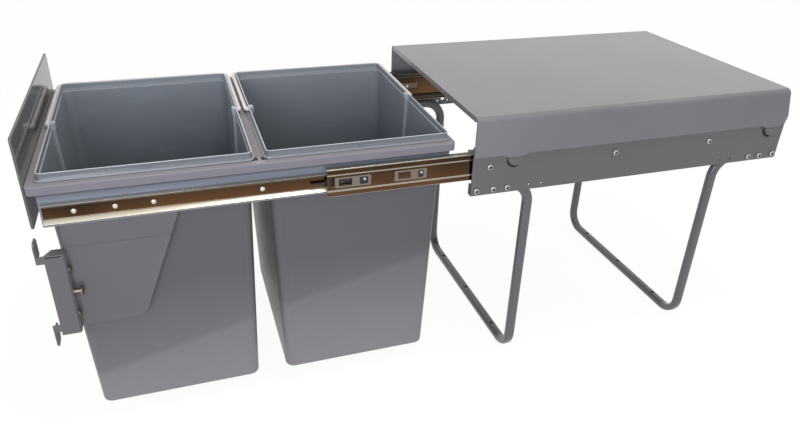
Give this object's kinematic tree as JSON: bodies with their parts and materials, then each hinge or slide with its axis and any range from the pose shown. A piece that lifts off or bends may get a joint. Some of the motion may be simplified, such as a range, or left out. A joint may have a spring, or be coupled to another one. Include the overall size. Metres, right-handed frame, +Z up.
{
  "type": "pull out trash cabinet",
  "caption": "Pull-out waste unit for a kitchen base cabinet: lidded housing on hoop legs, telescopic slides and a drawer frame that carries lift-out bins with bail handles.",
  "frame": {"origin": "centre of the bounding box at the floor, with the drawer pulled out", "axes": "+Z up from the floor, -Y the way the drawer pulls out, +X across the unit, to the right seen from behind the housing looking towards the front panel's back"},
  "size_m": [0.345, 1.0046, 0.4095],
  "materials": {
    "lid_paint": "fine satin grey powder coat",
    "plate_paint": "satin mid-grey powder coat",
    "tube_paint": "satin dark-grey powder coat",
    "zinc_steel": "bright zinc plate",
    "bright_screw": "bright plated, cross recess",
    "black_plastic": "moulded, matt",
    "collar_plastic": "moulded, fine satin grain",
    "panel_gloss": "high gloss",
    "bin_plastic": "moulded, satin",
    "handle_plastic": "coated white wire"
  },
  "bodies": {
    "housing": {"cover_lid": "lid_paint", "side_plate_right": "plate_paint", "side_plate_left": "plate_paint", "front_hoop_leg": "tube_paint", "rear_hoop_leg": "tube_paint", "slide_cabinet_member_right": "zinc_steel", "slide_cabinet_member_left": "zinc_steel", "slide_screw_1_right": "bright_screw", "slide_screw_1_left": "bright_screw", "slide_screw_2_right": "bright_screw", "slide_screw_2_left": "bright_screw", "slide_screw_3_right": "bright_screw", "slide_screw_3_left": "bright_screw", "front_hoop_screw_1_right": "bright_screw", "front_hoop_screw_1_left": "bright_screw", "front_hoop_screw_2_right": "bright_screw", "front_hoop_screw_2_left": "bright_screw", "front_hoop_screw_3_right": "bright_screw", "front_hoop_screw_3_left": "bright_screw", "rear_hoop_screw_1_right": "bright_screw", "rear_hoop_screw_1_left": "bright_screw", "rear_hoop_screw_2_right": "bright_screw", "rear_hoop_screw_2_left": "bright_screw", "rear_hoop_screw_3_right": "bright_screw", "rear_hoop_screw_3_left": "bright_screw"},
    "drawer": {"slide_drawer_member_right": "zinc_steel", "slide_drawer_member_left": "zinc_steel", "drawer_rail_right": "plate_paint", "drawer_rail_left": "plate_paint", "collar_frame": "collar_plastic", "front_panel": "panel_gloss", "wing_plate_right": "plate_paint", "wing_plate_left": "plate_paint", "door_bracket_right": "plate_paint", "door_bracket_left": "plate_paint", "bracket_screw_upper_right": "bright_screw", "bracket_screw_upper_left": "bright_screw", "bracket_screw_lower_right": "bright_screw", "bracket_screw_lower_left": "bright_screw", "adjusting_screw_right": "bright_screw", "adjusting_screw_left": "bright_screw"},
    "middle_member_right": {"slide_middle_member_right": "zinc_steel"},
    "outer_cage_right": {"outer_ball_cage_right": "zinc_steel"},
    "inner_cage_right": {"inner_ball_cage_right": "zinc_steel"},
    "lever_right": {"release_lever_right": "black_plastic"},
    "middle_member_left": {"slide_middle_member_left": "zinc_steel"},
    "outer_cage_left": {"outer_ball_cage_left": "zinc_steel"},
    "inner_cage_left": {"inner_ball_cage_left": "zinc_steel"},
    "lever_left": {"release_lever_left": "black_plastic"},
    "front_bin": {"front_bin": "bin_plastic"},
    "front_handle": {"front_bin_handle": "handle_plastic"},
    "rear_bin": {"rear_bin": "bin_plastic"},
    "rear_handle": {"rear_bin_handle": "handle_plastic"}
  },
  "joints": [
    {"name": "drawer_slide", "type": "slide", "parent": "housing", "child": "drawer", "axis": [0, -1, 0], "range_m": [-0.492, 0]},
    {"name": "middle_member_slide_right", "type": "slide", "parent": "housing", "child": "middle_member_right", "axis": [0, -1, 0], "range_m": [-0.19, 0]},
    {"name": "outer_cage_slide_right", "type": "slide", "parent": "housing", "child": "outer_cage_right", "axis": [0, -1, 0], "range_m": [-0.095, 0]},
    {"name": "inner_cage_slide_right", "type": "slide", "parent": "housing", "child": "inner_cage_right", "axis": [0, -1, 0], "range_m": [-0.341, 0]},
    {"name": "lever_pivot_right", "type": "hinge", "parent": "drawer", "child": "lever_right", "pos_m": [0.158, -0.15875, 0.32], "axis": [1, 0, 0], "range_deg": [-8, 8]},
    {"name": "middle_member_slide_left", "type": "slide", "parent": "housing", "child": "middle_member_left", "axis": [0, -1, 0], "range_m": [-0.19, 0]},
    {"name": "outer_cage_slide_left", "type": "slide", "parent": "housing", "child": "outer_cage_left", "axis": [0, -1, 0], "range_m": [-0.095, 0]},
    {"name": "inner_cage_slide_left", "type": "slide", "parent": "housing", "child": "inner_cage_left", "axis": [0, -1, 0], "range_m": [-0.341, 0]},
    {"name": "lever_pivot_left", "type": "hinge", "parent": "drawer", "child": "lever_left", "pos_m": [-0.158, -0.15875, 0.32], "axis": [1, 0, 0], "range_deg": [-8, 8]},
    {"name": "front_bin_lift", "type": "slide", "parent": "drawer", "child": "front_bin", "axis": [0, 0, 1], "range_m": [0, 0.36]},
    {"name": "front_handle_swing", "type": "hinge", "parent": "front_bin", "child": "front_handle", "pos_m": [0, -0.37325, 0.3619], "axis": [0, 1, 0], "range_deg": [0, 180]},
    {"name": "rear_bin_lift", "type": "slide", "parent": "drawer", "child": "rear_bin", "axis": [0, 0, 1], "range_m": [0, 0.36]},
    {"name": "rear_handle_swing", "type": "hinge", "parent": "rear_bin", "child": "rear_handle", "pos_m": [0, -0.13325, 0.3619], "axis": [0, 1, 0], "range_deg": [0, 180]}
  ],
  "couplings": [
    {"joint": "middle_member_slide_right", "follows": "drawer_slide", "ratio": 0.38617},
    {"joint": "outer_cage_slide_right", "follows": "drawer_slide", "ratio": 0.19309},
    {"joint": "inner_cage_slide_right", "follows": "drawer_slide", "ratio": 0.69308},
    {"joint": "middle_member_slide_left", "follows": "drawer_slide", "ratio": 0.38617},
    {"joint": "outer_cage_slide_left", "follows": "drawer_slide", "ratio": 0.19309},
    {"joint": "inner_cage_slide_left", "follows": "drawer_slide", "ratio": 0.69308}
  ]
}
